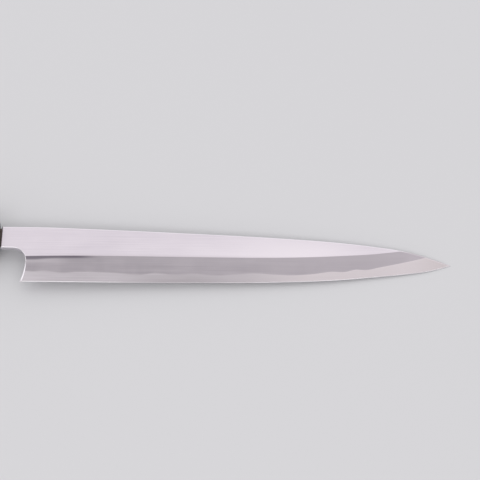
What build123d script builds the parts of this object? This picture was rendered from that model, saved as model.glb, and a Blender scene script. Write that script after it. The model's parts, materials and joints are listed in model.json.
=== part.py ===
from build123d import *

import os
from math import atan, degrees, radians, tan

# A 270 mm yanagiba, the Japanese slicing knife that is ground on one side only. The blade is soft iron with
# a hard steel plate forge-welded under it, and its tang is burned into a wooden handle with a horn ferrule.
# Working frame, in millimetres: the origin is at the machi, where the polished neck ends, on the handle's
# axis; +X runs to the tip, +Y to the spine, and z = 0 is the plane of the blade's flat back.
# At the end the knife is laid down as it rests on a table, on the ferrule's lower front edge and the tip.

# Blade, seen from its ground side
blade_length = 274.5
neck_height = 13.6
neck_straight = 7.5
neck_flare = 0.15
chin_radius = 7.8
heel_setback = 3.0
edge_drop = 27.5
tip_drop = 15.5
spine_thickness = 4.0
point_thickness = 1.65

# Grinding: the bevel, the honed land along the edge, the eased rim and the hollow in the back
bevel_width = 15.5
land_width = 0.4
land_angle = 22.0
rim_chamfer = 0.45
hollow_depth = 0.35
hollow_edge_rim = 1.2
hollow_spine_rim = 2.4

# Hard steel plate
steel_thickness = 1.3
steel_start = 5.0

# Tang
tang_length = 98.0
machi_step = 1.3
machi_side_step = 0.3
tang_end_height = 5.5
tang_end_thickness = 2.4
tang_end_radius = 1.8

# Handle and ferrule, one tapered octagon from the ferrule's front to the butt
machi_gap = 2.5
handle_length = 142.0
ferrule_length = 27.0
front_height = 25.0
front_width = 20.5
butt_height = 27.5
butt_width = 22.5
corner_cut = 5.4
ferrule_chamfer = 1.0
butt_chamfer = 1.5
mouth_wall = 7.0
tenon_diameter = 15.5
tenon_end_gap = 0.5
tang_hole_spare = 4.0

# Fits, and how far a cutter runs past what it cuts
mouth_clearance = 0.3
tang_clearance = 0.1
tenon_clearance = 0.05
overrun = 5.0

# Stations along the blade: shares of its length, of the spine's fall from the neck to the tip, of the edge's
# rise from its straight to the tip, of the bevel's width, and of the hollow's width and depth
blade_shares = (
    (0.030, 0.000, 0.010, 0.950, 0.00, 0.00),
    (0.070, 0.000, 0.006, 0.980, 0.30, 0.10),
    (0.110, 0.007, 0.002, 1.000, 0.72, 0.60),
    (0.180, 0.032, -0.004, 1.020, 0.94, 0.95),
    (0.290, 0.080, -0.012, 1.022, 1.00, 1.00),
    (0.430, 0.146, 0.000, 1.005, 1.00, 1.00),
    (0.570, 0.221, 0.026, 0.984, 1.00, 1.00),
    (0.675, 0.296, 0.095, 0.971, 1.00, 0.95),
    (0.750, 0.366, 0.194, 0.960, 1.00, 0.85),
    (0.820, 0.459, 0.342, 0.928, 1.00, 0.70),
    (0.890, 0.588, 0.505, 0.950, 0.95, 0.45),
    (0.945, 0.757, 0.680, 0.960, 0.60, 0.15),
    (0.980, 0.903, 0.872, 0.960, 0.00, 0.00),
    (1.000, 1.000, 1.000, 0.960, 0.00, 0.00),
    (1.020, 1.100, 1.140, 0.960, 0.00, 0.00),
)
# Points along the weld: shares of the blade's length and of the steel's thickness
weld_shares = (
    (0.047, 1.16),
    (0.075, 1.18),
    (0.098, 1.23),
    (0.135, 1.00),
    (0.170, 1.08),
    (0.220, 1.04),
    (0.260, 0.93),
    (0.308, 0.76),
    (0.338, 0.91),
    (0.380, 0.73),
    (0.425, 0.80),
    (0.475, 0.67),
    (0.520, 0.75),
    (0.555, 0.81),
    (0.600, 0.68),
    (0.640, 0.58),
    (0.690, 0.60),
    (0.732, 0.68),
    (0.760, 0.60),
    (0.785, 0.69),
    (0.808, 0.60),
    (0.840, 0.68),
    (0.890, 0.77),
    (0.945, 0.86),
    (1.020, 0.95),
)
# Shares of a ground face's own width at which its cutter starts, below the back, and ends, above the flat
cutter_shares = (-6.0, 1.3)

mid_plane = spine_thickness / 2
neck_half = neck_height / 2
spine_fall = neck_half + tip_drop
edge_rise = edge_drop - tip_drop
taper = (spine_thickness - point_thickness) / blade_length
land_height = land_width * tan(radians(land_angle))
neck_turn = 90 - degrees(atan(neck_flare / neck_straight))
joint_x = -machi_gap - ferrule_length
tenon_length = ferrule_length - mouth_wall - tenon_end_gap


def station(place, fall, rise, bevel, *_):
    """Place along the blade, spine, edge and shinogi line of one row of blade_shares."""
    edge_y = edge_rise * rise - edge_drop
    return blade_length * place, neck_half - spine_fall * fall, edge_y, edge_y + bevel_width * bevel


def grinding_section(x, low, high):
    """Face across the blade over all that lies above the slope from low to high, each given as (y, z)."""
    start, end = (Vector(*low) + (Vector(*high) - Vector(*low)) * share for share in cutter_shares)
    ceiling = spine_thickness + end.Y
    with BuildSketch(Plane.YZ.offset(x)) as section:
        with BuildLine():
            Polyline(start, end, (end.X, ceiling), (start.X, ceiling), close=True)
        make_face()
    return section.sketch


def is_rim(edge):
    """Whether an edge of the flat stays on the blade and is eased, as all are but the one at the machi."""
    middle = edge.center()
    return middle.Y > -edge_drop and 0 < middle.X < blade_length


def hollow_section(row):
    """Face across the back of the blade: a shallow arc between the two flat rims."""
    x, spine_y, edge_y, _ = station(*row)
    *_, width_share, depth_share = row
    low = edge_y + hollow_edge_rim
    high = spine_y - hollow_spine_rim
    middle = (low + high) / 2
    half = (high - low) / 2 * width_share
    with BuildSketch(Plane.YZ.offset(x)) as section:
        with BuildLine():
            arc = ThreePointArc((middle - half, 0), (middle, hollow_depth * depth_share), (middle + half, 0))
            Polyline(arc @ 1, (middle + half, -overrun), (middle - half, -overrun), arc @ 0)
        make_face()
    return section.sketch


def tang_section(behind, spare):
    """Rectangle across the tang at a distance behind the machi, with spare room all round."""
    share = behind / tang_length
    height = neck_height - 2 * machi_step
    thickness = spine_thickness - 2 * machi_side_step
    height += (tang_end_height - height) * share
    thickness += (tang_end_thickness - thickness) * share
    with BuildSketch(Plane.YZ.offset(-behind)) as section:
        with Locations((0, mid_plane)):
            Rectangle(height + 2 * spare, thickness + 2 * spare)
    return section.sketch


def handle_taper(plane, middle, front, butt):
    """Outline of the whole handle on a plane through it, from its size in front to its size at the butt."""
    butt_x = -machi_gap - handle_length
    with BuildSketch(plane) as side:
        with BuildLine():
            Polyline(
                (-machi_gap, middle + front / 2),
                (-machi_gap, middle - front / 2),
                (butt_x, middle - butt / 2),
                (butt_x, middle + butt / 2),
                close=True,
            )
        make_face()
    return side.sketch


# Forged and ground blade, still in one: its outline is left wide along the edge and long at the tip
with BuildPart() as blade:
    with BuildSketch() as outline:
        with BuildLine():
            spine = Spline((0, neck_half), *(station(*row)[:2] for row in blade_shares[:-1]))
            past = Line(spine @ 1, spine @ 1 + (spine % 1) * overrun / 2)
            under = Line((0, -neck_half), (neck_straight, -neck_half - neck_flare))
            chin = JernArc(under @ 1, under % 1, chin_radius, -neck_turn)
            heel = TangentArc(chin @ 1, ((chin @ 1).X - heel_setback, -edge_drop), tangent=chin % 1)
            below = Line(heel @ 1, heel @ 1 + (heel % 1) * overrun)
            Polyline(below @ 1, ((past @ 1).X, (below @ 1).Y), past @ 1)
            Line((0, neck_half), (0, -neck_half))
        make_face()
    extrude(amount=spine_thickness)
    split(bisect_by=Plane(origin=(0, 0, spine_thickness), z_dir=(taper, 0, 1)), keep=Keep.BOTTOM)
    flat = blade.faces().sort_by(Axis.Z)[-1]
    chamfer(flat.edges().filter_by(is_rim), rim_chamfer)

    # The bevel runs from the honed land up to the shinogi line, where it meets the flat
    bevels, lands = [], []
    for row in blade_shares:
        x, _, edge_y, shinogi_y = station(*row)
        land_top = (edge_y + land_width, land_height)
        bevels.append(grinding_section(x, land_top, (shinogi_y, spine_thickness - taper * x)))
        lands.append(grinding_section(x, (edge_y, 0), land_top))
    loft(bevels, mode=Mode.SUBTRACT)
    loft(lands, mode=Mode.SUBTRACT)
    loft([hollow_section(row) for row in blade_shares if row[-1] > 0], mode=Mode.SUBTRACT)

    # The tang goes into the handle behind a small step, the machi, on all four sides of the neck
    loft([tang_section(0, 0), tang_section(tang_length, 0)])
    tang_end = blade.faces().sort_by(Axis.X)[0]
    fillet(tang_end.edges().filter_by(Axis.Z), tang_end_radius)

# All that lies under the wavy weld is hard steel
with BuildSketch(Plane.XZ) as under_weld:
    with BuildLine():
        weld_points = [(blade_length * place, steel_thickness * height) for place, height in weld_shares]
        weld = Spline((steel_start, 0), *weld_points)
        Polyline(weld @ 1, ((weld @ 1).X, -overrun), (steel_start, -overrun), weld @ 0)
    make_face()

with BuildPart() as blade_iron:
    add(blade)
    extrude(under_weld.sketch, amount=edge_drop + overrun, both=True, mode=Mode.SUBTRACT)
blade_iron.part.label = "blade_iron"

with BuildPart() as edge_steel:
    add(blade)
    extrude(under_weld.sketch, amount=edge_drop + overrun, both=True, mode=Mode.INTERSECT)
edge_steel.part.label = "edge_steel"

# Tapered octagon that the ferrule and the handle are planed to together
with BuildPart() as octagon:
    from_spine = handle_taper(Plane.XZ, mid_plane, front_width, butt_width)
    extrude(from_spine, amount=butt_height, both=True)
    from_side = handle_taper(Plane.XY, 0, front_height, butt_height)
    extrude(from_side, amount=butt_width, both=True, mode=Mode.INTERSECT)
    chamfer(octagon.edges().group_by(SortBy.LENGTH)[-1], corner_cut)
    chamfer(octagon.faces().sort_by(Axis.X)[-1].edges(), ferrule_chamfer)
    chamfer(octagon.faces().sort_by(Axis.X)[0].edges(), butt_chamfer)

# Horn ferrule: a mouth for the tang in front and a bored socket for the handle's tenon behind
with BuildPart() as ferrule:
    add(octagon)
    split(bisect_by=Plane.YZ.offset(joint_x), keep=Keep.TOP)
    with BuildSketch(Plane.YZ.offset(joint_x)):
        with Locations((0, mid_plane)):
            Circle(tenon_diameter / 2)
    extrude(amount=ferrule_length - mouth_wall, mode=Mode.SUBTRACT)
    mouth_end = machi_gap + mouth_wall + tenon_end_gap
    loft([tang_section(0, mouth_clearance), tang_section(mouth_end, mouth_clearance)], mode=Mode.SUBTRACT)
ferrule.part.label = "ferrule"

# Wooden handle: a turned tenon in front, and the tang's hole burned through it and on into the grip
with BuildPart() as handle:
    add(octagon)
    split(bisect_by=Plane.YZ.offset(joint_x), keep=Keep.BOTTOM)
    with BuildSketch(Plane.YZ.offset(joint_x)):
        with Locations((0, mid_plane)):
            Circle(tenon_diameter / 2 - tenon_clearance)
    extrude(amount=tenon_length)
    hole_end = tang_length + tang_hole_spare
    loft([tang_section(0, tang_clearance), tang_section(hole_end, tang_clearance)], mode=Mode.SUBTRACT)
handle.part.label = "handle"

# Laid down: the ferrule's lower front edge and the tip touch the table, and the origin is under the middle
rest_width = front_width + (butt_width - front_width) * ferrule_chamfer / handle_length
rest_x = machi_gap + ferrule_chamfer + blade_length
pitch = degrees(atan((rest_width / 2 - mid_plane) / rest_x))
pieces = (blade_iron.part, edge_steel.part, ferrule.part, handle.part)
for piece in pieces:
    piece.move(Location((0, 0, 0), (0, pitch, 0)))
laid = Compound(list(pieces)).bounding_box()
for piece in pieces:
    piece.move(Location((-laid.center().X, -laid.center().Y, -laid.min.Z)))

os.makedirs("parts", exist_ok=True)
export_step(blade_iron.part, "parts/blade_iron.step")
export_step(edge_steel.part, "parts/edge_steel.step")
export_step(ferrule.part, "parts/ferrule.step")
export_step(handle.part, "parts/handle.step")
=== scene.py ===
import json
from math import atan, atan2, cos, pi, radians, sin, tan

import bmesh
import bpy
import numpy as np
from mathutils import Matrix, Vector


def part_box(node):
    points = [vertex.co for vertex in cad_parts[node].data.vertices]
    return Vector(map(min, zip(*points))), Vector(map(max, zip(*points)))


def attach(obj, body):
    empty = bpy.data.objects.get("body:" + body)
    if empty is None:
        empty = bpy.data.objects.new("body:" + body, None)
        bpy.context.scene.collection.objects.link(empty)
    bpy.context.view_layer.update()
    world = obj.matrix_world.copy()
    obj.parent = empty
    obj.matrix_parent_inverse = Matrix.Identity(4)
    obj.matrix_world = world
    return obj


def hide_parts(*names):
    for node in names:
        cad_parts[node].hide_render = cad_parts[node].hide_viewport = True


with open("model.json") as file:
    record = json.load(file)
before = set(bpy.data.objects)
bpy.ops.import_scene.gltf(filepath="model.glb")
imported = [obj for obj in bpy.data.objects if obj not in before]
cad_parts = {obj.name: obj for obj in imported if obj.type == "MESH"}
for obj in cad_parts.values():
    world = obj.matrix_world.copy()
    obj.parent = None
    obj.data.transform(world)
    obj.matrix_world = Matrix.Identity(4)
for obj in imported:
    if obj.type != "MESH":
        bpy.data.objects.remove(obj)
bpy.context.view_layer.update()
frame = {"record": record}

# Body of the blade
# Soft iron, forged in one with the neck and with the tang that is burned into the handle. Its right side is
# ground flat from the spine to the shinogi line and slopes from there on, where it is left with a haze.
# It is drawn with the machi at x = 0, the tip at +X, the spine at +Y and the flat back on z = 0.
blade_length = 0.2745
neck_height = 0.0136
neck_straight = 0.0075
neck_flare = 0.00015
chin_radius = 0.0078
heel_setback = 0.003
edge_drop = 0.0275
tip_drop = 0.0155
spine_thickness = 0.004
point_thickness = 0.00165
bevel_width = 0.0155
land_width = 0.0004
land_angle = radians(22)
rim_radius = 0.00055
heel_rim_growth = 0.9
heel_rim_depth = 0.8
steel_thickness = 0.0013
steel_start = 0.005
tang_length = 0.098
tang_front = (0.011, 0.0034)
tang_end = (0.0055, 0.0024)
tang_end_radius = 0.0018
tang_root = 0.001

# Along the blade: place, fall of the spine, rise of the edge, bevel's width, and hollow's width and depth
blade_shares = (
    (0.000, 0.000, 0.012, 0.930, 0.00, 0.00),
    (0.030, 0.000, 0.010, 0.950, 0.00, 0.00),
    (0.070, 0.000, 0.006, 0.980, 0.30, 0.10),
    (0.110, 0.007, 0.002, 1.000, 0.72, 0.60),
    (0.180, 0.032, -0.004, 1.020, 0.94, 0.95),
    (0.290, 0.080, -0.012, 1.022, 1.00, 1.00),
    (0.430, 0.146, 0.000, 1.005, 1.00, 1.00),
    (0.570, 0.221, 0.026, 0.984, 1.00, 1.00),
    (0.675, 0.296, 0.095, 0.971, 1.00, 0.95),
    (0.750, 0.366, 0.194, 0.960, 1.00, 0.85),
    (0.820, 0.459, 0.342, 0.928, 1.00, 0.70),
    (0.890, 0.588, 0.505, 0.950, 0.95, 0.45),
    (0.945, 0.757, 0.680, 0.960, 0.60, 0.15),
    (0.980, 0.903, 0.872, 0.960, 0.00, 0.00),
    (1.000, 1.000, 1.000, 0.960, 0.00, 0.00),
    (1.020, 1.100, 1.140, 0.960, 0.00, 0.00),
)
# Along the weld: place, and thickness of the steel there
weld_shares = (
    (0.047, 1.16), (0.075, 1.18), (0.098, 1.23), (0.135, 1.00), (0.170, 1.08), (0.220, 1.04), (0.260, 0.93),
    (0.308, 0.76), (0.338, 0.91), (0.380, 0.73), (0.425, 0.80), (0.475, 0.67), (0.520, 0.75), (0.555, 0.81),
    (0.600, 0.68), (0.640, 0.58), (0.690, 0.60), (0.732, 0.68), (0.760, 0.60), (0.785, 0.69), (0.808, 0.60),
    (0.840, 0.68), (0.890, 0.77), (0.945, 0.86), (1.020, 0.95),
)
mid_plane = spine_thickness / 2
neck_half = neck_height / 2
taper = (spine_thickness - point_thickness) / blade_length
land_height = land_width * tan(land_angle)
neck_angle = atan(neck_flare / neck_straight)
chin_x = neck_straight - chin_radius * sin(neck_angle)
chin_y = -neck_half - neck_flare - chin_radius * cos(neck_angle)
heel_depth = edge_drop + chin_y
heel_radius = (heel_setback ** 2 + heel_depth ** 2) / 2 / heel_setback
heel_x = chin_x + chin_radius - heel_radius
hair = 1e-6

# The knife rests pitched on the ferrule's edge and the tip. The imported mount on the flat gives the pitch.
flat_mount = next(mount for mount in frame["record"]["mounts"] if mount["name"] == "blade_flat")
pitch = atan2(flat_mount["axis"][0], flat_mount["axis"][2]) - atan(taper)
handle_low, handle_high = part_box("handle")
machi_place = (
    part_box("edge_steel")[1].x - blade_length * cos(pitch),
    (handle_low.y + handle_high.y) / 2,
    blade_length * sin(pitch),
)
laid_down = Matrix.Translation(machi_place) @ Matrix.Rotation(pitch, 4, "Y")


def through(places, values):
    """Smooth line through points, as a function of the place along the blade."""
    places, values = np.array(places), np.array(values)
    slopes = np.gradient(values, places)

    def line(x):
        left = np.clip(np.searchsorted(places, x) - 1, 0, len(places) - 2)
        span = places[left + 1] - places[left]
        share = (x - places[left]) / span
        rise = values[left + 1] - values[left]
        bow = share * (1 - share) * ((1 - share) * slopes[left] - share * slopes[left + 1])
        return values[left] + share * share * (3 - 2 * share) * rise + span * bow

    return line


places, falls, rises, bevels, hollow_widths, hollow_depths = np.array(blade_shares).T
weld_places, weld_heights = np.array(((steel_start / blade_length, 0), *weld_shares)).T
spine_line = through(blade_length * places, neck_half - (neck_half + tip_drop) * falls)
edge_line = through(blade_length * places, (edge_drop - tip_drop) * rises - edge_drop)
bevel_line = through(blade_length * places, bevel_width * bevels)
weld_curve = through(blade_length * weld_places, steel_thickness * weld_heights)


def weld_height(x):
    return np.where(x < steel_start, 0, weld_curve(x))


def shinogi_line(x):
    return edge_line(x) + bevel_line(x)


def bevel_slope(x):
    return (spine_thickness - taper * x - land_height) / (bevel_line(x) - land_width)


def weld_line(x):
    return edge_line(x) + land_width + (weld_height(x) - land_height) / bevel_slope(x)


def ground_height(x, y):
    """Height of the ground side: the flat, the bevel or the honed land, whichever is lowest."""
    rise = y - edge_line(x)
    bevel = land_height + (rise - land_width) * bevel_slope(x)
    return np.maximum(0, np.minimum(spine_thickness - taper * x, np.minimum(bevel, rise * tan(land_angle))))


def heel_side(y):
    """The blade's end under the neck: the round chin, and the long arc from there to the heel."""
    chin = chin_x + np.sqrt(np.maximum(0, chin_radius ** 2 - (y - chin_y) ** 2))
    heel = heel_x + np.sqrt(heel_radius ** 2 - (y - chin_y) ** 2)
    return np.where(y > chin_y, chin, heel)


def round_the_chin(low, count):
    """Points from the neck round the chin and down to a height, at even steps along the outline."""
    turn = np.linspace(pi / 2 - neck_angle, 0, count * 8)
    down = np.linspace(chin_y, -edge_drop, count * 8)
    x = np.concatenate((chin_x + chin_radius * np.cos(turn), heel_side(down)))
    y = np.concatenate((chin_y + chin_radius * np.sin(turn), down))
    way = np.concatenate(((0,), np.cumsum(np.hypot(np.diff(x), np.diff(y)))))
    steps = np.linspace(0, np.interp(-low, -y, way), count + 1)[1:]
    return np.interp(steps, way, x), np.interp(steps, way, y)


def on_the_rim(x, y):
    """Whether a place is on the rounded rim: at the spine, under the neck, round the chin or at the heel."""
    width = rim_radius * (1 + heel_rim_growth * np.clip((shinogi_line(x) - y) / bevel_line(x), 0, 1))
    under_neck = y + neck_half + neck_flare * x / neck_straight
    round_chin = np.hypot(x - chin_x, y - chin_y) - chin_radius
    inside = np.where(y < chin_y, x - heel_side(y), np.where(x < chin_x, under_neck, round_chin))
    return (inside < width) | (y > spine_line(x) - rim_radius)


# The rim in nine steps: share of its width in from the outline, and of its depth down. It is rounded, and
# from the shinogi down to the heel it turns into a stoned slope, whole after a quarter of the bevel's width.
rim_turn = np.linspace(0, pi / 2, 9)
rim_in, rim_down = 1 - np.cos(rim_turn), 1 - np.sin(rim_turn)
stoned_in = np.array((0, 0.02, 0.05, 0.09, 0.14, 0.38, 0.62, 0.86, 1))
stoned_down = np.array((1, 0.93, 0.875, 0.83, 0.79, 0.55, 0.31, 0.08, 0))
stoned_after = 0.25
# Where the blade is thin, the rim takes no more than this share of its height
rim_most = 0.6
# Rows that start at the machi, under the neck and round the chin, and where on the flat the first two end
cut_rows, neck_rows, chin_rows = 10, 8, 32
row_shares = (0.50, 0.66)
# Places along the blade: they turn straight, run on at even steps, and come closer at the tip
turn_steps = 22
straight_x = 0.034
station_step = 0.0014
tip_start = 0.238


def lay_out(first_x, tip_stations, borders, steps, weld):
    """Grid over the blade: rows run from the handle's side to the tip between the borders, spine first.

    From the first border on, the steps give the number of rows to each next one. The border whose number is
    given as the weld is the weld line, which climbs a little where the rim cuts it.
    """
    def eased_spine(x):
        return np.maximum(spine_line(x) - rim_radius, borders[-1](x))

    lines = (spine_line, eased_spine, *borders)
    fan = cut_rows + neck_rows + chin_rows
    bands = [(0, share) for share in rim_in]
    bands += [(1, share) for share in np.linspace(0, row_shares[0], cut_rows + 1)[1:]]
    bands += [(1, share) for share in np.linspace(*row_shares, neck_rows + 1)[1:]]
    bands += [(1, share) for share in np.linspace(row_shares[1], 1, chin_rows + 1)[1:]]
    for band, count in enumerate(steps, 2):
        bands += [(band, share) for share in np.linspace(0, 1, count + 1)[1:]]

    def row_height(row, x):
        band, share = bands[row]
        height = lines[band](x) * (1 - share) + lines[band + 1](x) * share
        return np.clip(height, borders[-1](x), spine_line(x))

    # Where each row starts, and the way it leaves the outline there
    rows = len(bands)
    start_x, start_y = np.full(rows, first_x), np.zeros(rows)
    way_x, way_y = np.ones(rows), np.zeros(rows)
    under = -neck_half - neck_flare * first_x / neck_straight
    rim_end = len(rim_in)
    cut_end, neck_end, fan_end = rim_end + cut_rows, rim_end + cut_rows + neck_rows, rim_end + fan
    border = fan_end - 1
    start_y[:rim_end] = neck_half - rim_radius * rim_in
    start_y[rim_end:cut_end] = np.linspace(neck_half - rim_radius, under, cut_rows + 1)[1:]
    start_x[cut_end:neck_end] = np.linspace(first_x, neck_straight, neck_rows + 1)[1:]
    start_y[cut_end:neck_end] = np.linspace(under, -neck_half - neck_flare, neck_rows + 1)[1:]
    for row in range(border, rows):
        start_x[row] = chin_x + chin_radius
        for _ in range(6):
            start_y[row] = row_height(row, start_x[row])
            start_x[row] = heel_side(start_y[row])
    start_x[neck_end:fan_end], start_y[neck_end:fan_end] = round_the_chin(start_y[border], chin_rows)
    way_x[cut_end - 1:neck_end], way_y[cut_end - 1:neck_end] = sin(neck_angle), cos(neck_angle)
    way_x[cut_end - 1] = 1
    fade = (pi / 2 - neck_angle) * np.linspace(1, 0, chin_rows + 1)[1:]
    way_x[neck_end:fan_end], way_y[neck_end:fan_end] = np.cos(fade), np.sin(fade)

    # Layers along the rim, then stations that turn straight, then straight ones
    to_heel = np.clip((shinogi_line(start_x) - start_y) / bevel_line(start_x), 0, 1)
    rim = rim_radius * (1 + heel_rim_growth * to_heel)
    depth = rim_radius * (1 - (1 - heel_rim_depth) * to_heel)
    stoned = np.minimum(1, to_heel / stoned_after)
    layers = len(rim_in) + 1
    turning = np.linspace(0, 1, turn_steps + 1)[1:]
    onward = np.concatenate((np.arange(straight_x, tip_stations[0], station_step)[1:], tip_stations))
    x = np.zeros((layers + len(turning) + len(onward), rows))
    y, drop = np.zeros_like(x), np.zeros_like(x)
    for row in range(rows):
        spread = rim[row] * np.append(rim_in + (stoned_in - rim_in) * stoned[row], 2)
        near_x, near_y = start_x[row] + way_x[row] * spread, start_y[row] + way_y[row] * spread
        turned_x = near_x[-1] + (straight_x - near_x[-1]) * turning
        x[:, row] = np.concatenate((near_x, turned_x, onward))
        y[:, row] = row_height(row, x[:, row])
        if rim_end <= row < border:
            turned_y = near_y[-1] + (row_height(row, straight_x) - near_y[-1]) * turning
            chord = row_height(border, near_x[-1]) * (1 - turning) + row_height(border, straight_x) * turning
            turned_y += (row_height(border, turned_x) - chord) * max(0, row - neck_end + 1) / chin_rows
            y[:layers + len(turning), row] = np.concatenate((near_y, turned_y))
    drop[:len(rim_in)] = (rim_down[:, None] + (stoned_down - rim_down)[:, None] * stoned) * depth
    drop[:, :rim_end] = np.maximum(drop[:, :rim_end], rim_down * rim_radius)
    row_ends = (neck_end - 1, border, *(border + np.cumsum(steps)), rows)
    at_weld = np.interp(np.arange(rows), row_ends[weld:weld + 3], (0, 1, 0))
    near = np.s_[:layers, neck_end:]
    climb = at_weld[neck_end:] * drop[near] / bevel_slope(x[near])
    x[near] += heel_side(y[near] + climb) - heel_side(y[near])
    y[near] += climb
    height = ground_height(x, y)
    return x, y, height - np.minimum(drop, height * rim_most)


def slab(name, x, y, z, underside):
    """Grid laid on the ground side and extruded down to the underside, except where no thickness is left."""
    bpy.ops.object.select_all(action="DESELECT")
    bpy.ops.mesh.primitive_grid_add(x_subdivisions=x.shape[0] - 1, y_subdivisions=x.shape[1] - 1, size=1)
    piece = bpy.context.object
    piece.name = piece.data.name = name
    piece.data.vertices.foreach_set("co", np.stack((x.T, y.T, z.T), axis=-1).ravel())
    thin = (z - underside(x, y)).T.ravel() < hair * 2
    pick(piece, "FACE", lambda face: all(thin[v.index] for v in face.verts))
    bpy.ops.mesh.delete(type="FACE")
    bpy.ops.mesh.select_all(action="SELECT")
    bpy.ops.mesh.extrude_region_move()
    bpy.ops.object.mode_set(mode="OBJECT")
    places = np.zeros(len(piece.data.vertices) * 3)
    extruded = np.zeros(len(piece.data.vertices), bool)
    piece.data.vertices.foreach_get("co", places)
    piece.data.vertices.foreach_get("select", extruded)
    places = places.reshape(-1, 3)
    places[extruded, 2] = np.minimum(places[extruded, 2], underside(places[extruded, 0], places[extruded, 1]))
    piece.data.vertices.foreach_set("co", places.ravel())
    bpy.ops.object.mode_set(mode="EDIT")
    bpy.ops.mesh.select_all(action="SELECT")
    bpy.ops.mesh.remove_doubles(threshold=hair * 2)
    bpy.ops.mesh.dissolve_degenerate(threshold=hair * 2)
    bpy.ops.mesh.select_all(action="SELECT")
    bpy.ops.mesh.normals_make_consistent(inside=False)
    bpy.ops.object.mode_set(mode="OBJECT")
    return piece


def block(name, back_x, front_x, back_size, front_size):
    """Cube primitive stretched between two places on the knife's axis, with its back end resized."""
    bpy.ops.object.select_all(action="DESELECT")
    middle = ((back_x + front_x) / 2, 0, mid_plane)
    bpy.ops.mesh.primitive_cube_add(size=1, location=middle, scale=(front_x - back_x, *front_size))
    bpy.ops.object.transform_apply(location=True, rotation=True, scale=True)
    piece = bpy.context.object
    piece.name = piece.data.name = name
    pick(piece, "FACE", lambda face: face.normal.x < -0.9)
    change = (1, back_size[0] / front_size[0], back_size[1] / front_size[1])
    bpy.ops.transform.resize(value=change, center_override=(back_x, 0, mid_plane))
    bpy.ops.object.mode_set(mode="OBJECT")
    return piece


def pick(piece, kind, test):
    """Goes into edit mode with only those faces or edges of a piece selected that pass a test."""
    bpy.ops.object.mode_set(mode="OBJECT")
    bpy.context.view_layer.objects.active = piece
    bpy.ops.object.mode_set(mode="EDIT")
    bpy.ops.mesh.select_mode(type=kind)
    bpy.ops.mesh.select_all(action="DESELECT")
    mesh = bmesh.from_edit_mesh(piece.data)
    for part in {"EDGE": mesh.edges, "FACE": mesh.faces}[kind]:
        if test(part):
            part.select_set(True)
    mesh.select_flush_mode()
    bmesh.update_edit_mesh(piece.data)


def combine(piece, other, operation):
    """Adds another closed piece to a piece, or cuts it away, and clears it."""
    step = piece.modifiers.new(operation.lower(), "BOOLEAN")
    step.operation, step.object, step.solver = operation, other, "EXACT"
    bpy.context.view_layer.objects.active = piece
    bpy.ops.object.modifier_apply(modifier=step.name)
    bpy.data.objects.remove(other, do_unlink=True)


def read_mesh(piece):
    """Vertex places, face middles and face normals of a piece."""
    mesh = piece.data
    points, middles, normals = (
        np.zeros(3 * len(part)) for part in (mesh.vertices, mesh.polygons, mesh.polygons)
    )
    mesh.vertices.foreach_get("co", points)
    mesh.polygons.foreach_get("center", middles)
    mesh.polygons.foreach_get("normal", normals)
    return points.reshape(-1, 3), middles.reshape(-1, 3), normals.reshape(-1, 3)


def crease(piece, line):
    """Shades a blade piece smooth, but for its corners and the line where two ground faces meet."""
    bpy.context.view_layer.objects.active = piece
    bpy.ops.object.shade_smooth()
    bpy.ops.object.mode_set(mode="EDIT")
    bpy.ops.mesh.select_mode(type="EDGE")
    bpy.ops.mesh.select_all(action="DESELECT")
    bpy.ops.mesh.edges_select_sharp(sharpness=radians(38))
    bpy.ops.mesh.mark_sharp()
    bpy.ops.object.mode_set(mode="OBJECT")
    points, _, _ = read_mesh(piece)
    ends = np.zeros(2 * len(piece.data.edges), int)
    sharp = np.zeros(len(piece.data.edges), bool)
    piece.data.edges.foreach_get("vertices", ends)
    piece.data.edges.foreach_get("use_edge_sharp", sharp)
    x, y, z = points.T
    on_line = (abs(y - line(x)) < hair) & (z > hair) & (y < spine_line(x) - rim_radius - hair)
    sharp |= on_line[ends[::2]] & on_line[ends[1::2]]
    piece.data.edges.foreach_set("use_edge_sharp", sharp)


def give_value(piece, name, values):
    """Stores a value at each vertex, which the finish of the piece reads by name."""
    piece.data.attributes.new(name, "FLOAT", "POINT").data.foreach_set("value", values.astype(np.float32))


def seen(red, green, blue):
    """Shader value of a colour as it is seen, from 0 to 255."""
    return (*(((part / 255 + 0.055) / 1.055) ** 2.4 for part in (red, green, blue)), 1)


def add_node(material, kind, inputs=None, **settings):
    """Adds a node to a material, with its settings, and with its inputs set or linked."""
    node = material.node_tree.nodes.new("ShaderNode" + kind)
    for name, value in settings.items():
        setattr(node, name, value)
    for socket, value in (inputs or {}).items():
        if isinstance(value, bpy.types.NodeSocket):
            material.node_tree.links.new(value, node.inputs[socket])
        else:
            node.inputs[socket].default_value = value
    return node


def new_finish(name, roughness, metallic=0.0):
    """Material of one finish, with its shader, and with places measured along the knife."""
    material = bpy.data.materials.new(name)
    material.use_nodes = True
    shader = material.node_tree.nodes["Principled BSDF"]
    shader.inputs["Roughness"].default_value = roughness
    shader.inputs["Metallic"].default_value = metallic
    where = add_node(material, "TexCoord").outputs["Object"]
    turned = {"Vector": where, "Location": machi_place, "Rotation": (0, pitch, 0)}
    return material, shader, add_node(material, "Mapping", turned, vector_type="TEXTURE").outputs[0]


def noise(material, where, stretch, detail=3.0, rough=0.5):
    """Noise pattern, with its cells per metre along X, Y and Z."""
    place = add_node(material, "Mapping", {"Vector": where, "Scale": stretch}).outputs[0]
    inputs = {"Vector": place, "Scale": 1.0, "Detail": detail, "Roughness": rough}
    return add_node(material, "TexNoise", inputs).outputs["Fac"]


def remap(material, value, low, high, to_low=0.0, to_high=1.0):
    """Turns a range of values smoothly into another range."""
    inputs = {"Value": value, "From Min": low, "From Max": high, "To Min": to_low, "To Max": to_high}
    return add_node(material, "MapRange", inputs, interpolation_type="SMOOTHSTEP").outputs[0]


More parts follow.
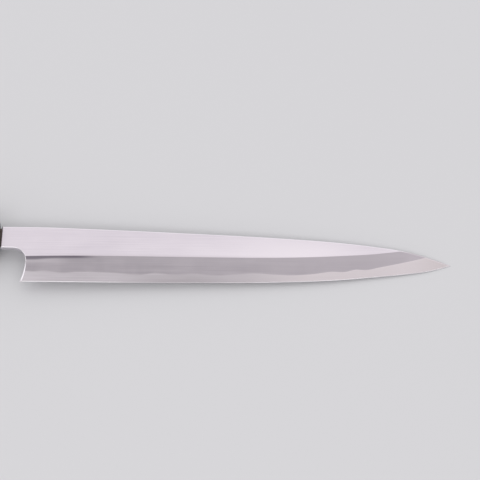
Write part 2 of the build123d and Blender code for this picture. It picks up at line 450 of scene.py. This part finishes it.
def mix(material, share, first, second):
    """Colour between two colours."""
    return add_node(material, "Mix", {0: share, 6: first, 7: second}, data_type="RGBA").outputs[2]


def times(material, first, second):
    return add_node(material, "Math", {0: first, 1: second}, operation="MULTIPLY").outputs[0]


def plus(material, first, second):
    return add_node(material, "Math", {0: first, 1: second}, operation="ADD").outputs[0]


def stored(material, name):
    """A value that the piece holds at its vertices."""
    return add_node(material, "Attribute", attribute_name=name).outputs["Fac"]


def link(material, value, shader, socket):
    material.node_tree.links.new(value, shader.inputs[socket])


def emboss(material, shader, height, strength, distance):
    """Fine relief."""
    inputs = {"Height": height, "Strength": strength, "Distance": distance}
    link(material, add_node(material, "Bump", inputs).outputs[0], shader, "Normal")


def satin(name, light, dark, roughness, across, relief):
    """Ground metal with fine lines along the blade, between a light and a dark tone."""
    material, shader, where = new_finish(name, roughness, metallic=1.0)
    lines = noise(material, where, (18, across, 0), detail=5, rough=0.65)
    clouds = noise(material, where, (35, 90, 0), detail=2)
    tone = plus(material, times(material, lines, 0.7), times(material, clouds, 0.3))
    colour = mix(material, remap(material, tone, 0.32, 0.68), dark, light)
    link(material, remap(material, lines, 0.3, 0.7, roughness - 0.04, roughness + 0.05), shader, "Roughness")
    emboss(material, shader, lines, relief, 0.00002)
    return material, shader, where, colour


def dress(piece, finishes, index):
    """Gives a piece its finishes, one index for each face."""
    piece.data.materials.clear()
    for finish in finishes:
        piece.data.materials.append(finish)
    piece.data.polygons.foreach_set("material_index", index.astype(np.int32))
    piece.data.update()


# Satin flat, as bright as brushed silver, with a faint lavender cast. A painted highlight makes it brighter
# beyond the middle and at the heel, and it is darker close to the shinogi in its first half.
flat_finish, shader, where, colour = satin(
    "satin_flat", seen(219, 211, 219), seen(206, 198, 207), roughness=0.34, across=1500, relief=0.25
)
along = add_node(flat_finish, "SeparateXYZ", {0: where}).outputs[0]
across = stored(flat_finish, "down_the_flat")
# Painted highlight on the flat beyond the middle, and a smaller one at the heel
lit_from = remap(flat_finish, along, 0.09, 0.19, 0.1, -1.0)
lit = times(flat_finish, remap(flat_finish, across, lit_from, 1.0), remap(flat_finish, along, 0.045, 0.19))
lit = times(flat_finish, lit, remap(flat_finish, along, 0.185, 0.235, 1.0, 0.3))
colour = mix(flat_finish, lit, colour, seen(228, 220, 227))
lit_heel = remap(flat_finish, along, 0.015, 0.045, 0.15, 0.0)
colour = mix(flat_finish, lit_heel, colour, seen(230, 222, 229))
darker_by_shinogi = remap(flat_finish, along, 0.02, 0.05)
darker_by_shinogi = times(flat_finish, darker_by_shinogi, remap(flat_finish, along, 0.13, 0.17, 0.6, 0.1))
darker_by_shinogi = times(flat_finish, darker_by_shinogi, remap(flat_finish, across, 0.88, 1.0))
colour = mix(flat_finish, darker_by_shinogi, colour, seen(204, 196, 203))
link(flat_finish, colour, shader, "Base Color")

# Haze on the bevel: cloudy grey, with a painted dark reflection under the shinogi near the heel, where the
# grind leaves a slight hollow, lighter in a band below that, and lighter again toward the tip and along the
# weld
haze_finish, shader, where, colour = satin(
    "hazy_bevel", seen(186, 179, 185), seen(170, 163, 170), roughness=0.46, across=1100, relief=0.3
)
share = stored(haze_finish, "up_the_bevel")
along = add_node(haze_finish, "SeparateXYZ", {0: where}).outputs[0]
clouds = noise(haze_finish, where, (70, 25, 0), detail=3)
colour = mix(haze_finish, remap(haze_finish, clouds, 0.4, 0.7, 0.0, 0.35), colour, seen(164, 157, 164))
upper_band = remap(haze_finish, along, 0.026, 0.046, 0.75, 0.0)
upper_band = plus(haze_finish, upper_band, remap(haze_finish, along, 0.075, 0.1, 0.0, 0.2))
upper_band = times(haze_finish, upper_band, remap(haze_finish, share, 0.40, 0.70))
colour = mix(haze_finish, upper_band, colour, seen(198, 191, 197))
ripple = noise(haze_finish, where, (260, 260, 0), detail=2)
near_weld = plus(haze_finish, share, times(haze_finish, ripple, 0.05))
colour = mix(haze_finish, remap(haze_finish, near_weld, 0.02, 0.10, 0.75, 0.0), colour, seen(196, 189, 194))
# Painted dark reflection under the shinogi near the heel, where the grind leaves a slight hollow
painted_groove_shade = plus(haze_finish, share, remap(haze_finish, along, 0.020, 0.036, 0.07, 0.0))
painted_groove_shade = remap(haze_finish, painted_groove_shade, 0.77, 0.92)
painted_groove_shade = times(haze_finish, painted_groove_shade, remap(haze_finish, along, 0.045, 0.062, 0.7, 0.0))
colour = mix(haze_finish, painted_groove_shade, colour, seen(88, 81, 94))
lighter_tip = remap(haze_finish, along, 0.07, 0.25, 0.0, 0.6)
lighter_tip = plus(haze_finish, lighter_tip, remap(haze_finish, along, 0.243, 0.257, 0.0, 0.7))
colour = mix(haze_finish, lighter_tip, colour, seen(194, 186, 193))
link(haze_finish, colour, shader, "Base Color")

# Spine, neck and chin, rounded and polished by hand; their pale colour is partly a painted highlight, painted
# darker at the tip to tone it down
polish_finish, shader, where, colour = satin(
    "polished_rim", seen(242, 237, 243), seen(234, 229, 235), roughness=0.18, across=900, relief=0.1
)
along = add_node(polish_finish, "SeparateXYZ", {0: where}).outputs[0]
# Painted shade at the tip tones down the rim's highlight there
painted_tip_shade = remap(polish_finish, along, 0.243, 0.25, 0.0, 0.65)
colour = mix(polish_finish, painted_tip_shade, colour, seen(196, 188, 192))
link(polish_finish, colour, shader, "Base Color")

# Forge scale on the tang
scale_finish, shader, where = new_finish("forge_scale", 0.62, metallic=0.6)
patches = noise(scale_finish, where, (260, 260, 260), detail=6, rough=0.7)
colour = mix(scale_finish, remap(scale_finish, patches, 0.35, 0.65), seen(66, 56, 52), seen(112, 103, 100))
link(scale_finish, colour, shader, "Base Color")
link(scale_finish, remap(scale_finish, patches, 0.3, 0.7, 0.5, 0.8), shader, "Roughness")
emboss(scale_finish, shader, patches, 0.6, 0.0002)


def eased_shinogi(x):
    return np.minimum(shinogi_line(x), spine_line(x) - rim_radius)


def iron_end(x):
    return np.minimum(weld_line(x), spine_line(x))


# The iron runs out near the tip, where the weld reaches the spine
near_tip = np.linspace(0.25, 0.27, 2001)
iron_length = near_tip[np.argmax(weld_line(near_tip) >= spine_line(near_tip))]
iron_stations = np.linspace(tip_start, iron_length, 44)
x, y, top = lay_out(0.0, iron_stations, (eased_shinogi, iron_end), (12,), weld=1)
iron = slab("blade_body", x, y, top, lambda x, y: weld_height(x))

tang = block("tang", -tang_length, tang_root, tang_end, tang_front)
pick(tang, "EDGE", lambda edge: all(v.co.x < -tang_length + hair for v in edge.verts)
     and abs(edge.verts[0].co.z - edge.verts[1].co.z) > hair)
bpy.ops.mesh.bevel(offset=tang_end_radius, segments=5)
bpy.ops.object.mode_set(mode="OBJECT")
combine(iron, tang, "UNION")

points, middles, normals = read_mesh(iron)
x, y, _ = points.T
bevel_here = np.maximum(shinogi_line(x) - weld_line(x), rim_radius)
flat_here = np.maximum(spine_line(x) - shinogi_line(x), rim_radius)
give_value(iron, "up_the_bevel", (y - weld_line(x)) / bevel_here)
give_value(iron, "down_the_flat", (spine_line(x) - y) / flat_here)
# The flat, then the bevel, the rims and sides, and the tang
index = np.zeros(len(middles))
x, y, _ = middles.T
index[y < eased_shinogi(x)] = 1
index[on_the_rim(x, y) | (normals[:, 2] < 0.5)] = 2
index[x < -hair] = 3
dress(iron, (flat_finish, haze_finish, polish_finish, scale_finish), index)
crease(iron, shinogi_line)
iron.data.transform(laid_down)
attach(iron, "root")
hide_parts("blade_iron")

# Edge steel
# A thin plate of hard steel under the whole blade, forge-welded to the iron along a wavy line on the bevel.
# It ends in the honed land at the cutting edge, and its back is ground slightly hollow between flat rims.
hollow_depth = 0.00035
hollow_edge_rim = 0.0012
hollow_spine_rim = 0.0024
hollow_width_line = through(blade_length * places, hollow_widths)
hollow_depth_line = through(blade_length * places, hollow_depth * hollow_depths)


def land_line(x):
    return np.minimum(edge_line(x) + land_width, np.maximum(spine_line(x) - rim_radius, edge_line(x)))


def steel_line(x):
    return np.maximum(np.minimum(weld_line(x), spine_line(x) - rim_radius), land_line(x))


def in_hollow(x, y):
    """One in the middle of the hollow, zero where it meets the flat rims, and less outside it."""
    low, high = edge_line(x) + hollow_edge_rim, spine_line(x) - hollow_spine_rim
    half = np.maximum((high - low) / 2 * hollow_width_line(x), hair)
    return 1 - ((y - (low + high) / 2) / half) ** 2


def back_height(x, y):
    return np.maximum(0, in_hollow(x, y) * np.maximum(hollow_depth_line(x), 0))


steel_stations = np.append(iron_stations, np.linspace(iron_length, blade_length, 24)[1:])
x, y, top = lay_out(steel_start, steel_stations, (steel_line, land_line, edge_line), (9, 3), weld=0)
steel = slab("edge_steel_plate", x, y, np.minimum(top, weld_height(x)), back_height)

# Honed steel, a lighter grey than the haze above it. It is duller in the middle of the blade, pinker toward
# the tip, and a little brighter at the heel.
steel_finish, shader, where, colour = satin(
    "honed_steel", seen(212, 205, 211), seen(200, 193, 199), roughness=0.36, across=1300, relief=0.25
)
along = add_node(steel_finish, "SeparateXYZ", {0: where}).outputs[0]
share = stored(steel_finish, "down_the_bevel")
ripple = noise(steel_finish, where, (260, 260, 0), detail=2)
near_weld = plus(steel_finish, share, times(steel_finish, ripple, 0.12))
colour = mix(steel_finish, remap(steel_finish, near_weld, 0.03, 0.16, 0.3, 0.0), colour, seen(182, 176, 182))
dull_middle = remap(steel_finish, along, 0.06, 0.115, 0.12, 0.88)
dull_middle = times(steel_finish, dull_middle, remap(steel_finish, along, 0.11, 0.15, 1.0, 0.5))
dull_middle = times(steel_finish, dull_middle, remap(steel_finish, share, 0.2, 0.8, 0.6, 1.0))
colour = mix(steel_finish, dull_middle, colour, seen(184, 177, 182))
pinker_half = remap(steel_finish, along, 0.135, 0.192, 0.0, 0.95)
colour = mix(steel_finish, pinker_half, colour, seen(221, 212, 216))
# Painted shade darkens the steel over the last part of the tip
painted_tip_shade = remap(steel_finish, along, 0.245, 0.272, 0.0, 0.6)
colour = mix(steel_finish, painted_tip_shade, colour, seen(204, 194, 196))
bright_heel = remap(steel_finish, along, 0.014, 0.035, 0.35, 0.0)
colour = mix(steel_finish, bright_heel, colour, seen(226, 219, 225))
link(steel_finish, colour, shader, "Base Color")

# Honed land at the cutting edge, brightest at the heel; painted shade darkens it away from the heel and more
# toward the tip, toning its highlight down
land_finish, shader, where, colour = satin(
    "honed_land", seen(250, 247, 250), seen(242, 238, 242), roughness=0.16, across=2500, relief=0.1
)
along = add_node(land_finish, "SeparateXYZ", {0: where}).outputs[0]
# Painted shade tones the land's highlight down away from the heel and toward the tip
painted_land_shade = remap(land_finish, along, 0.05, 0.10)
painted_land_shade = times(land_finish, painted_land_shade, remap(land_finish, along, 0.12, 0.17, 1.0, 0.45))
painted_land_shade = plus(land_finish, painted_land_shade, remap(land_finish, along, 0.2, 0.24, 0.0, 0.35))
colour = mix(land_finish, painted_land_shade, colour, seen(206, 200, 205))
link(land_finish, colour, shader, "Base Color")

# Back, satin in the hollow and polished on the flat rims round it
back_finish, shader, where, colour = satin(
    "hollow_back", seen(214, 209, 215), seen(198, 193, 200), roughness=0.3, across=1200, relief=0.3
)
inside = remap(back_finish, stored(back_finish, "in_hollow"), 0.0, 0.10)
colour = mix(back_finish, inside, seen(234, 230, 235), colour)
link(back_finish, colour, shader, "Base Color")
link(back_finish, remap(back_finish, inside, 0.0, 1.0, 0.16, 0.32), shader, "Roughness")

points, middles, normals = read_mesh(steel)
x, y, _ = points.T
give_value(steel, "down_the_bevel", (weld_line(x) - y) / np.maximum(weld_line(x) - edge_line(x), rim_radius))
give_value(steel, "in_hollow", in_hollow(x, y))
# The bevel, then the land, the rims and sides, and the back
index = np.zeros(len(middles))
x, y, _ = middles.T
index[y < land_line(x)] = 1
index[on_the_rim(x, y) | (normals[:, 2] < 0.5)] = 2
index[normals[:, 2] < -0.9] = 3
dress(steel, (steel_finish, land_finish, polish_finish, back_finish), index)
crease(steel, land_line)
steel.data.transform(laid_down)
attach(steel, "root")
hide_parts("edge_steel")

# Ferrule
# Black buffalo horn, planed to one octagon with the handle and polished. It has a slot in front for the tang
# and a bored socket behind, and it is glued on the handle's tenon.
machi_gap = 0.0025
handle_length = 0.142
ferrule_length = 0.027
front_size = (0.025, 0.0205)
butt_size = (0.0275, 0.0225)
corner_cut = 0.0054
ferrule_chamfer = 0.001
butt_chamfer = 0.0015
mouth_wall = 0.007
mouth_clearance = 0.0003
mouth_ease = 0.00025
tenon_diameter = 0.0155
tenon_end_gap = 0.0005
softened = 0.00035
joint_line = 0.00006
joint_x = -machi_gap - ferrule_length
butt_x = -machi_gap - handle_length


def tang_shape(name, behind, spare):
    """Block as the tang is from the machi to a place behind it, with spare room all round."""
    share = behind / tang_length
    back = [front + (end - front) * share + 2 * spare for front, end in zip(tang_front, tang_end)]
    return block(name, -behind, 0, back, [size + 2 * spare for size in tang_front])


def rod(name, back_x, front_x, radius):
    """Round bar along the knife's axis."""
    bpy.ops.object.select_all(action="DESELECT")
    middle = ((back_x + front_x) / 2, 0, mid_plane)
    turned = (0, pi / 2, 0)
    bpy.ops.mesh.primitive_cylinder_add(
        vertices=96, radius=radius, depth=front_x - back_x, location=middle, rotation=turned
    )
    bpy.ops.object.transform_apply(location=True, rotation=True, scale=True)
    piece = bpy.context.object
    piece.name = piece.data.name = name
    return piece


def octagon(name, keep_front):
    """Tapered stick, planed to an octagon, chamfered, softened and sawn at the joint."""
    piece = block(name, butt_x, -machi_gap, butt_size, front_size)
    pick(piece, "EDGE", lambda edge: abs(edge.verts[0].co.x - edge.verts[1].co.x) > handle_length / 2)
    bpy.ops.mesh.bevel(offset=corner_cut, segments=1)
    for end_x, cut in ((-machi_gap, ferrule_chamfer), (butt_x, butt_chamfer)):
        pick(piece, "EDGE", lambda edge: all(abs(v.co.x - end_x) < hair for v in edge.verts))
        bpy.ops.mesh.bevel(offset=cut, segments=1)
    pick(piece, "EDGE", lambda edge: edge.calc_face_angle(0) > radians(20))
    bpy.ops.mesh.bevel(offset=softened, segments=4, profile=0.5)
    bpy.ops.mesh.select_all(action="SELECT")
    bpy.ops.mesh.bisect(
        plane_co=(joint_x, 0, 0), plane_no=(1, 0, 0), use_fill=True,
        clear_inner=keep_front, clear_outer=not keep_front,
    )
    pick(piece, "EDGE", lambda edge: all(abs(v.co.x - joint_x) < hair for v in edge.verts))
    bpy.ops.mesh.bevel(offset=joint_line, segments=1)
    bpy.ops.object.mode_set(mode="OBJECT")
    return piece


def smooth_between_facets(piece):
    """Shades the softened corners round, and leaves the planed facets and the chamfers flat."""
    bpy.ops.object.select_all(action="DESELECT")
    bpy.context.view_layer.objects.active = piece
    piece.select_set(True)
    bpy.ops.object.shade_smooth_by_angle(angle=radians(14))


horn = octagon("horn_ferrule", keep_front=True)
socket_end = joint_x + ferrule_length - mouth_wall
combine(horn, rod("socket", joint_x - mouth_wall, socket_end, tenon_diameter / 2), "DIFFERENCE")
mouth_depth = machi_gap + mouth_wall + tenon_end_gap
combine(horn, tang_shape("mouth", mouth_depth, mouth_clearance), "DIFFERENCE")
pick(horn, "EDGE", lambda edge: all(
    abs(v.co.x + machi_gap) < hair and abs(v.co.y) < neck_half and abs(v.co.z - mid_plane) < mid_plane
    for v in edge.verts
))
bpy.ops.mesh.bevel(offset=mouth_ease, segments=2)
bpy.ops.object.mode_set(mode="OBJECT")
smooth_between_facets(horn)

horn_finish, shader, where = new_finish("black_horn", 0.16)
streaks = noise(horn_finish, where, (28, 320, 320), detail=5, rough=0.6)
pores = noise(horn_finish, where, (300, 1800, 1800), detail=2)
paler = remap(horn_finish, streaks, 0.56, 0.78, 0.0, 0.8)
colour = mix(horn_finish, paler, seen(30, 28, 29), seen(74, 62, 54))
link(horn_finish, colour, shader, "Base Color")
link(horn_finish, remap(horn_finish, pores, 0.4, 0.7, 0.12, 0.24), shader, "Roughness")
emboss(horn_finish, shader, streaks, 0.12, 0.0001)
horn.data.materials.clear()
horn.data.materials.append(horn_finish)
horn.data.transform(laid_down)
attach(horn, "root")
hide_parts("ferrule")

# Handle
# White magnolia, a light and even wood, planed to an octagon that swells a little to the butt, and sanded
# bare. A turned tenon goes into the ferrule, and the hole through it is burned out with the hot tang.
tenon_clearance = 0.00005
tang_clearance = 0.0001
tang_hole_spare = 0.004

grip = octagon("magnolia_handle", keep_front=False)
tenon_end = joint_x + ferrule_length - mouth_wall - tenon_end_gap
combine(grip, rod("tenon", joint_x - mouth_wall, tenon_end, tenon_diameter / 2 - tenon_clearance), "UNION")
combine(grip, tang_shape("tang_hole", tang_length + tang_hole_spare, tang_clearance), "DIFFERENCE")
smooth_between_facets(grip)

wood_finish, shader, where = new_finish("magnolia", 0.56)
pith = add_node(wood_finish, "Mapping", {"Vector": where, "Location": (0, 0.03, -0.075)}).outputs[0]
ring_inputs = {"Vector": pith, "Scale": 95.0, "Distortion": 5.0}
ring_inputs |= {"Detail": 3.0, "Detail Scale": 0.12, "Detail Roughness": 0.6}
rings = add_node(wood_finish, "TexWave", ring_inputs, wave_type="RINGS", rings_direction="X").outputs["Fac"]
fibres = noise(wood_finish, where, (40, 1900, 1900), detail=5, rough=0.7)
pores = noise(wood_finish, where, (130, 4200, 4200), detail=2)
tone = plus(wood_finish, times(wood_finish, rings, 0.14), times(wood_finish, fibres, 0.86))
colour = mix(wood_finish, remap(wood_finish, tone, 0.28, 0.72), seen(206, 187, 149), seen(223, 206, 171))
colour = mix(wood_finish, remap(wood_finish, pores, 0.58, 0.72, 0.0, 0.5), colour, seen(178, 152, 110))
clouds = noise(wood_finish, where, (12, 60, 60), detail=2)
colour = mix(wood_finish, remap(wood_finish, clouds, 0.42, 0.7, 0.0, 0.3), colour, seen(203, 187, 150))
link(wood_finish, colour, shader, "Base Color")
link(wood_finish, remap(wood_finish, fibres, 0.3, 0.7, 0.50, 0.64), shader, "Roughness")
emboss(wood_finish, shader, tone, 0.2, 0.0002)
grip.data.materials.clear()
grip.data.materials.append(wood_finish)
grip.data.transform(laid_down)
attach(grip, "root")
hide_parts("handle")

# Table, light and camera
# A plain pale table, a large soft light beyond the spine, a small one beyond the handle and a narrow one on
# the edge's side, an even surround, and the camera as far and as steep as in the photograph.
floor_colour = seen(214, 213, 216)
bpy.ops.object.select_all(action="DESELECT")
bpy.ops.mesh.primitive_plane_add(size=8, location=(0, 0, -0.0002))
table = bpy.context.object
table.name = "table"
table_finish = bpy.data.materials.new("pale_table")
table_finish.use_nodes = True
shader = table_finish.node_tree.nodes["Principled BSDF"]
shader.inputs["Base Color"].default_value = floor_colour
shader.inputs["Roughness"].default_value = 0.9
shader.inputs["Specular IOR Level"].default_value = 0.1
table.data.materials.append(table_finish)

surround = bpy.context.scene.world or bpy.data.worlds.new("surround")
bpy.context.scene.world = surround
surround.use_nodes = True
surround.node_tree.nodes["Background"].inputs["Color"].default_value = (1, 1, 1, 1)
surround.node_tree.nodes["Background"].inputs["Strength"].default_value = 0.76

for name, place, size, power in (
    ("far_softbox", (0.15, 1.0, 1.25), (2.6, 1.5), 5.0),
    ("side_softbox", (-1.35, 0.25, 1.0), (1.2, 1.2), 1.9),
    ("front_softbox", (0.1, -0.95, 1.25), (2.0, 0.5), 4.5),
):
    bpy.ops.object.light_add(type="AREA", location=place)
    lamp = bpy.context.object
    lamp.name = name
    lamp.data.shape = "RECTANGLE"
    lamp.data.size, lamp.data.size_y = size
    lamp.data.energy = power
    lamp.rotation_euler = (-lamp.location).to_track_quat("-Z", "Y").to_euler()

camera_place = (0.07306, -0.23951, 0.5994)
camera_tilt, camera_roll, camera_turn = 0.3935, -0.01093, -0.003432
bpy.ops.object.camera_add()
camera = bpy.context.object
camera.data.sensor_width = 36
camera.data.lens = 78.54
camera.data.clip_start = 0.01
camera.matrix_world = (
    Matrix.Translation(camera_place) @ Matrix.Rotation(camera_tilt, 4, "X")
    @ Matrix.Rotation(camera_roll, 4, "Y") @ Matrix.Rotation(camera_turn, 4, "Z")
)
bpy.context.scene.camera = camera
bpy.context.scene.view_settings.view_transform = "Standard"
